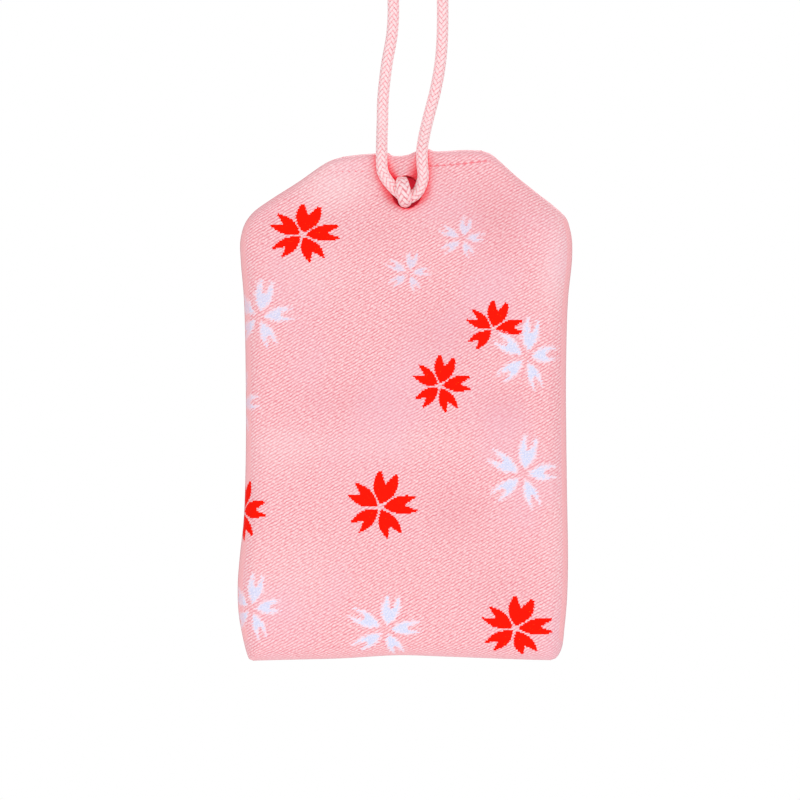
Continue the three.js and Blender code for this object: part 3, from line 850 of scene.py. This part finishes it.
def addPetals(place, blossoms, shape):
    # above 0 inside a forked petal; the upright petal is the broadest
    x, y, number = splitPlace(nearestBlossom(place, blossoms, shape))
    radius = calc("SQRT", calc("MULTIPLY_ADD", x, x, calc("MULTIPLY", y, y)))
    petal = 2 * math.pi / 5
    turns = calc("SUBTRACT", calc("ARCTAN2", y, x), math.radians(brocade["petalTurn"]))
    turns = calc("DIVIDE", turns, petal)
    sector = calc("ROUND", turns)
    bearing = calc("MULTIPLY", calc("SUBTRACT", turns, sector), petal)
    out = calc("MULTIPLY", radius, calc("COSINE", bearing))
    across = calc("ABSOLUTE", calc("MULTIPLY", radius, calc("SINE", bearing)))
    broad = calc("MULTIPLY_ADD", calc("COMPARE", sector, 0.0, 0.5), shape["upright"], 1.0)
    outer = calc("GREATER_THAN", out, shape["widest"])
    taper = addMix(outer, shape["taper"], shape["tipTaper"], "FLOAT")
    bow = calc("DIVIDE", calc("SUBTRACT", out, shape["widest"]), taper)
    bow = calc("SUBTRACT", 1.0, calc("POWER", bow, 2.0))
    width = calc("MULTIPLY", calc("MULTIPLY", bow, shape["halfWidth"]), broad)
    deep = calc("MAXIMUM", calc("SUBTRACT", out, shape["fork"]), 0.0)
    notch = calc("MULTIPLY", calc("POWER", deep, shape["forkPower"]), shape["forkWidth"])
    far = 9.0  # more than any petal, so nothing is cut before the fork
    unforked = calc("MULTIPLY", calc("LESS_THAN", out, shape["fork"]), far)
    fork = calc("ADD", calc("SUBTRACT", across, notch), unforked)
    inside = calc("MINIMUM", calc("SUBTRACT", width, across), fork)
    inside = calc("MINIMUM", inside, calc("SUBTRACT", 1.0, radius))
    return inside, sector, number


def addPaintedLightAndShade(place):
    # soft patches of painted light and painted shade on the satin, 0.5 where there is none
    total = 0.5
    for right, up, across, tall, strength in brocade["paintedLightAndShade"]:
        shift = (-right / across, -up / tall, 0)
        here = addVector("MULTIPLY_ADD", place, (1 / across, 1 / tall, 0), shift)
        away = addVector("LENGTH", here)
        patch = addRamp(away, 0.0, brocade["lightAndShadeReach"], 0.5 * strength, 0.0)
        total = calc("ADD", patch, total)
    return total


def addTwill(place):
    # lines that rise to the right: thin dark valleys between pale floats, broken by a streaky grain
    slope = math.radians(brocade["twillAngle"])
    pitch, reach = brocade["twillPitch"], brocade["floatLength"]
    acrossWay = (-math.sin(slope) / pitch, math.cos(slope) / pitch, 0)
    alongWay = (math.cos(slope) / reach, math.sin(slope) / reach, 0)
    closeness, amount = brocade["wander"]
    wander = addCentred(addNoise(place, closeness), amount)
    lines = calc("ADD", addVector("DOT_PRODUCT", place, acrossWay), wander)
    run = addVector("DOT_PRODUCT", place, alongWay)
    valley = calc("POWER", addWave("COSINE", lines), brocade["valleyPower"])
    floats = calc("MULTIPLY_ADD", calc("FLOOR", lines), brocade["floatShift"], run)
    crown = calc("MULTIPLY", addWave("SINE", floats), calc("SUBTRACT", 1.0, valley))
    level, rise, fall = brocade["woven"]
    woven = calc("MULTIPLY_ADD", valley, fall, calc("MULTIPLY_ADD", crown, rise, level))
    streaks = [calc("MULTIPLY", v, close) for v, close in zip((run, lines), brocade["streaks"])]
    streaks = addNode("CombineXYZ", streaks)[0]
    grain = calc("SUBTRACT", addNoise(streaks, 1.0), 0.5)
    return calc("MULTIPLY_ADD", grain, brocade["grain"], woven), grain


def addThreadSteps(place):
    # the woven grid: rows of thread, every second one shifted
    x, y, _ = splitPlace(place)
    row = calc("FLOOR", calc("DIVIDE", y, brocade["thread"][1]))
    odd = calc("FLOORED_MODULO", row, 2.0)
    shifted = calc("MULTIPLY_ADD", odd, brocade["threadShift"], x)
    place = addNode("CombineXYZ", (shifted, y))[0]
    return addVector("SNAP", place, brocade["thread"])


def addGround(place, weave, inField):
    # pink twill with soft patches of painted light and painted shade, and a plain band along the two sides
    ground = addMix(weave, brocade["deep"], brocade["light"])
    paintedLightAndShade = addPaintedLightAndShade(place)
    ground = addTint(ground, paintedLightAndShade, *brocade["paintedLightPatch"])
    ground = addTint(ground, paintedLightAndShade, *brocade["paintedShadePatch"])
    ground = addTint(ground, addNoise(place, brocade["shimmerScale"]), *brocade["shimmer"])
    return addMix(inField, addMix(weave, *brocade["band"]), ground)


def brocadeMaterial(name, reds, whites):
    material, tree, shader = newMaterial(name, Roughness=0.6)
    place = addAttribute(tree, "clothPlace")
    edge = addAttribute(tree, "clothEdge", "Fac")
    inField = addRamp(splitPlace(place)[2], *brocade["fieldStart"])
    closeness, amount = brocade["speck"]
    speck = addNoise(place, closeness)
    twill, grain = addTwill(place)
    weave = calc("ADD", twill, addCentred(speck, amount))
    full = calc("MINIMUM", inField, addRamp(edge, *brocade["weaveEdge"]))
    least, level = brocade["flatWeave"]
    weave = addMix(calc("MULTIPLY_ADD", full, 1 - least, least), level, weave, "FLOAT")
    ground = addGround(place, weave, inField)
    # woven blossoms: solid red ones, and pale ones that fray along the twill
    stepped = addThreadSteps(place)
    inside, sector, leftOut = addPetals(stepped, reds, brocade["redPetal"])
    hidden = calc("COMPARE", sector, leftOut, 0.5)
    red = calc("GREATER_THAN", calc("SUBTRACT", inside, hidden), 0.0)
    inside, _, strength = addPetals(stepped, whites, brocade["whitePetal"])
    frayed = calc("MULTIPLY_ADD", grain, brocade["fray"], inside)
    white = calc("MULTIPLY", addRamp(frayed, *brocade["whiteEdge"]), strength)
    least = brocade["bandWhite"]
    white = calc("MULTIPLY", white, calc("MULTIPLY_ADD", inField, 1 - least, least))
    red = calc("MULTIPLY", red, calc("LESS_THAN", white, brocade["whiteCovers"]))
    # orange specks on the red: painted glints
    redShade = addTint(brocade["red"], speck, *brocade["paintedGlint"])
    body = addTint(brocade["white"], speck, *brocade["streak"])
    whiteShade = addTint(brocade["fringe"], frayed, brocade["fringeWidth"], body)
    shade = addMix(white, addMix(red, ground, redShade), whiteShade)
    # painted shade along the edges, where the cloth turns away
    shade = addTint(shade, edge, *brocade["rim"])
    # painted shade in creases and where the cords touch the cloth
    shade = addTint(shade, addPaintedShadeMask(tree, brocade["shadeReach"]), *brocade["hollowShade"])
    plug(shader.inputs["Base Color"], shade)
    gloss, onRed = brocade["specular"]
    plug(shader.inputs["Specular IOR Level"], calc("MULTIPLY_ADD", red, onRed, gloss))
    raised = calc("MULTIPLY_ADD", calc("MAXIMUM", red, white), brocade["raised"], weave)
    plug(shader.inputs["Normal"], addBump(raised, *brocade["bump"]))
    return material


# lining, a plain weave, in a bright red that also stands in for the red shade inside the hole: partly
# painted shade
lining = dict(
    colour=colour(255, 60, 84),
    shade=colour(255, 34, 60),
    thread=0.3,
    fineness=4.0,
    weave=(0.3, 0.3, 0),
    weaveShade=0.5,
    bump=(0.03, 0.4),
)


def liningMaterial():
    material, tree, shader = newMaterial("plainLining", Roughness=0.85, Specular_IOR_Level=0.2)
    place = addAttribute(tree, "clothPlace")
    turns = 2 * math.pi / lining["thread"]
    threads = addVector("SINE", addVector("MULTIPLY", place, (turns, turns, 0)))
    fine = addNoise(place, lining["fineness"])
    weave = addVector("DOT_PRODUCT", threads, lining["weave"])
    share = calc("MULTIPLY_ADD", weave, lining["weaveShade"], fine)
    shade = addMix(share, lining["shade"], lining["colour"])
    plug(shader.inputs["Base Color"], shade)
    plug(shader.inputs["Normal"], addBump(weave, *lining["bump"]))
    return material


backBrocade = brocadeMaterial("brocadeBack", brocade["backRed"], brocade["backWhite"])
frontBrocade = brocadeMaterial("brocadeFront", brocade["frontRed"], brocade["frontWhite"])
plainLining = liningMaterial()
for name, node, sign, layer, material in (
    ("backPanel", "back_panel", -1, "brocade", backBrocade),
    ("frontPanel", "front_panel", 1, "brocade", frontBrocade),
    ("backLining", "back_lining", -1, "lining", plainLining),
    ("frontLining", "front_lining", 1, "lining", plainLining),
):
    leaf = leafPiece(name, sign, layer, material)
    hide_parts(node)
print("pouch leaves and linings")

# threads: two plies laid round each other
thread = dict(
    diameter=0.3,
    twist=0.9,
    sides=6,
    step=0.12,
    plump=1.12,  # the plies press into each other
    seamIn=1.4,
    seamDrop=(12.5, 66.0, 24),  # from, to, points
    seamBase=(-19.5, -12, -4, 4, 12, 19),
    colour=colour(252, 156, 165),
    shade=colour(244, 112, 126),
    grain=(1.5, 9.0, 1.0),  # along a ply, round it, from ply to ply
    stitch=0.95,
    lift=0.05,
    rows=[  # name, node, places and drops below the mouth, how deep the thread is sunk
        ("mouthStitchLeft", "mouth_stitch_left", [(-9.7, 2.55), (-7.0, 2.45), (-4.3, 2.4)], 0.15),
        ("mouthStitchRight", "mouth_stitch_right", [(3.3, 1.75), (7.0, 1.5), (11.0, 1.05)], 0.085),
    ],
)


def threadMaterial():
    material, tree, shader = newMaterial("sewingThread", Roughness=0.55, Specular_IOR_Level=0.3)
    place = addAttribute(tree, "yarnPlace")
    fine = addNoise(addVector("MULTIPLY", place, thread["grain"]), 1.0)
    plug(shader.inputs["Base Color"], addMix(fine, thread["shade"], thread["colour"]))
    return material


def threadPiece(name, line, material, node):
    along = lengthAlong(line)
    side, cross = carryFrames(line)
    points, faces, places = [], [], []
    sides, ply = thread["sides"], thread["diameter"] / 4
    for k in range(2):
        theta = 2 * np.pi * along / thread["twist"] + k * np.pi
        radial = side * np.cos(theta)[:, None] + cross * np.sin(theta)[:, None]
        width = np.full(len(line), ply * thread["plump"])
        points.append(yarnTube(line + radial * ply, radial, width, width, sides))
        faces.extend(tubeFaces(len(line), sides, k * len(line) * sides))
        places.append(yarnPlaces(along, sides, k))
    piece = makePiece(name, np.vstack(points), faces, material, "thread", yarnPlace=np.vstack(places))
    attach(piece, "pouch")
    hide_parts(node)


def makeThreads(material):
    x, drop = flatGrid()
    outline = gridOutline(x, drop)
    for name, node, row, sunk in thread["rows"]:
        flat = smoothLine([(a, b, 0) for a, b in row], thread["step"])
        edge = nearestOn(outline, flat[:, 0], flat[:, 1])[0]
        depth = clothDepth(-1, flat[:, 0], flat[:, 1], edge)[0]
        wave = thread["lift"] * np.cos(2 * np.pi * lengthAlong(flat) / thread["stitch"])
        level = sunk - depth - wave
        line = np.column_stack([flat[:, 0], level, pouch["mouthZ"] - flat[:, 1]])
        threadPiece(name, line, material, node)
    inset = thread["seamIn"]
    drops = np.linspace(*thread["seamDrop"])
    left = [(v + inset, 0, pouch["mouthZ"] - d) for v, d in zip(alongEdge("leftEdge", drops), drops)]
    right = [(v - inset, 0, pouch["mouthZ"] - d) for v, d in zip(alongEdge("rightEdge", drops), drops)]
    base = [(v, 0, pouch["mouthZ"] - pouch["height"] + inset) for v in thread["seamBase"]]
    threadPiece("seamThread", smoothLine(left + base + right[::-1], thread["step"]), material, "seam_thread")


makeThreads(threadMaterial())
print("threads")

# what the pouch holds: a card, a paper sleeve and a blank wooden slip
grainRamp = (0.3, 0.7)
filling = [  # node, lighter, darker, closeness of the grain
    ("core_card", colour(224, 217, 202), colour(205, 197, 180), (600, 600, 600)),
    ("charm_wrapper", colour(247, 244, 236), colour(234, 230, 218), (900, 900, 250)),
    ("charm_tablet", colour(226, 201, 158), colour(204, 170, 120), (900, 900, 45)),
]


def dressFilling():
    for node, light, dark, grain in filling:
        material, tree, shader = newMaterial(node + "Surface", Roughness=0.8)
        place = addNode("TexCoord", tree=tree)["Object"]
        fine = addNoise(addVector("MULTIPLY", place, grain), 1.0, detail=3.0)
        plug(shader.inputs["Base Color"], addTint(dark, fine, grainRamp, light))
        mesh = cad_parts[node].data
        mesh.materials.clear()
        mesh.materials.append(material)


dressFilling()
print("filling")

# lights, floor and background
stage = dict(
    floorZ=-165.0,
    floorRadius=110.0,
    floorPoints=64,
    floorFade=0.5,  # share of the radius at which the floor begins to fade
    floorColour=(0.95, 0.95, 0.95, 1),
    world=0.62,
    lamps=[  # place, size, watts
        ((330, -400, 170), 420, 0.62),
        ((-430, -300, -260), 420, 0.5),
        ((15, -520, -60), 60, 0.6),
        ((60, 420, 200), 300, 1.6),
    ],
    target=(0, 0, -90),
)


def makeStage():
    scene = bpy.context.scene
    scene.view_settings.view_transform = "Standard"
    world = bpy.data.worlds.new("softStudio")
    scene.world = world
    world.use_nodes = True
    tree = world.node_tree
    background = tree.nodes["Background"]
    background.inputs["Color"].default_value = (1, 1, 1, 1)
    rays = addNode("LightPath", tree=tree)
    seen = calc("MAXIMUM", rays["Is Camera Ray"], rays["Is Glossy Ray"])
    seen = calc("MAXIMUM", seen, rays["Is Transmission Ray"])
    plug(background.inputs["Strength"], addMix(seen, stage["world"], 1.0, "FLOAT"))
    for index, (place, size, watts) in enumerate(stage["lamps"]):
        lamp = bpy.data.lights.new(f"lamp{index}", "AREA")
        lamp.size = size * mm
        lamp.energy = watts
        holder = bpy.data.objects.new(f"lamp{index}", lamp)
        holder.location = Vector(place) * mm
        aim = Vector(stage["target"]) * mm - holder.location
        holder.rotation_euler = aim.to_track_quat("-Z", "Y").to_euler()
        scene.collection.objects.link(holder)
    radius, count = stage["floorRadius"] * mm, stage["floorPoints"]
    ring = [2 * math.pi * i / count for i in range(count)]
    mesh = bpy.data.meshes.new("floor")
    mesh.from_pydata([(radius * math.cos(a), radius * math.sin(a), 0) for a in ring], [], [range(count)])
    floor = bpy.data.objects.new("floor", mesh)
    floor.location.z = stage["floorZ"] * mm
    material, tree, shader = newMaterial("paleFloor", Base_Color=stage["floorColour"], Roughness=0.9)
    away = addVector("LENGTH", addNode("TexCoord", tree=tree)["Object"])
    fade = addRamp(away, stage["floorFade"] * radius, radius, 1.0, 0.0)
    plug(shader.inputs["Alpha"], fade)
    mesh.materials.append(material)
    scene.collection.objects.link(floor)


makeStage()
print("stage set")
